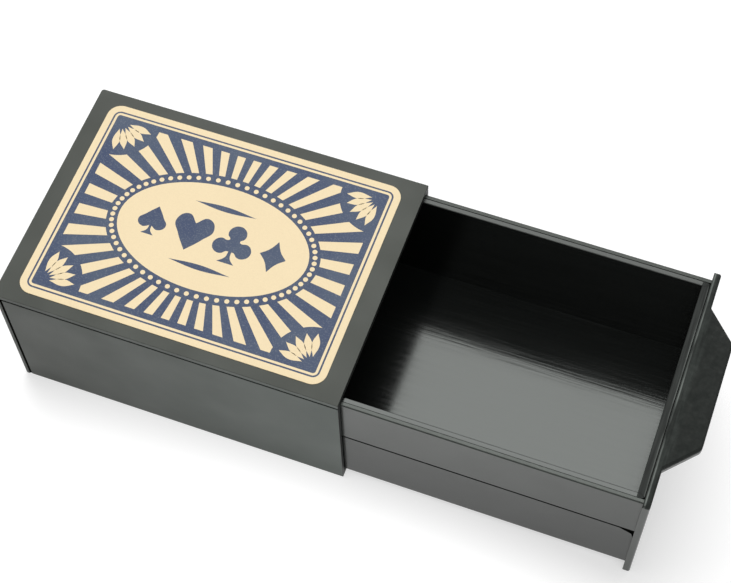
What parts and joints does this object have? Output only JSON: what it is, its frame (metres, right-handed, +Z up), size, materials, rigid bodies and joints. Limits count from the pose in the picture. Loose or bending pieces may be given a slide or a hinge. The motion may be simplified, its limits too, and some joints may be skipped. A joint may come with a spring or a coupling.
{
  "type": "magic drawer box",
  "caption": "Small plastic case open at one end with a sliding drawer, a loose inner tray that can be held back in the case, and a printed label on top.",
  "frame": {"origin": "centre of the case's underside, where it rests", "axes": "+X the way the drawer pulls out, +Y across the case, +Z up"},
  "size_m": [0.1153, 0.0434, 0.0283],
  "materials": {
    "case_plastic": "satin dark grey moulded plastic",
    "drawer_plastic": "dark grey moulded plastic, fairly glossy",
    "tray_plastic": "glossy black moulded plastic",
    "label_print": "cream sticker printed in navy, slight sheen"
  },
  "bodies": {
    "case": {"case_body": "case_plastic", "case_back": "case_plastic", "case_top": "case_plastic", "label": "label_print"},
    "catch": {"hold_back_tongue": "case_plastic"},
    "tray": {"secret_tray": "tray_plastic"},
    "drawer": {"drawer_front": "drawer_plastic", "drawer_channel": "drawer_plastic"}
  },
  "joints": [
    {"name": "tray_slide", "type": "slide", "parent": "case", "child": "tray", "axis": [1, 0, 0], "range_m": [-0.049, 0]},
    {"name": "drawer_slide", "type": "slide", "parent": "tray", "child": "drawer", "axis": [1, 0, 0], "range_m": [0, 0.049]},
    {"name": "tongue_press", "type": "hinge", "parent": "case", "child": "catch", "pos_m": [0.0015, 0, 0.00068], "axis": [0, -1, 0], "range_deg": [0, 2.5], "stiffness_Nm_per_rad": 0.05}
  ]
}
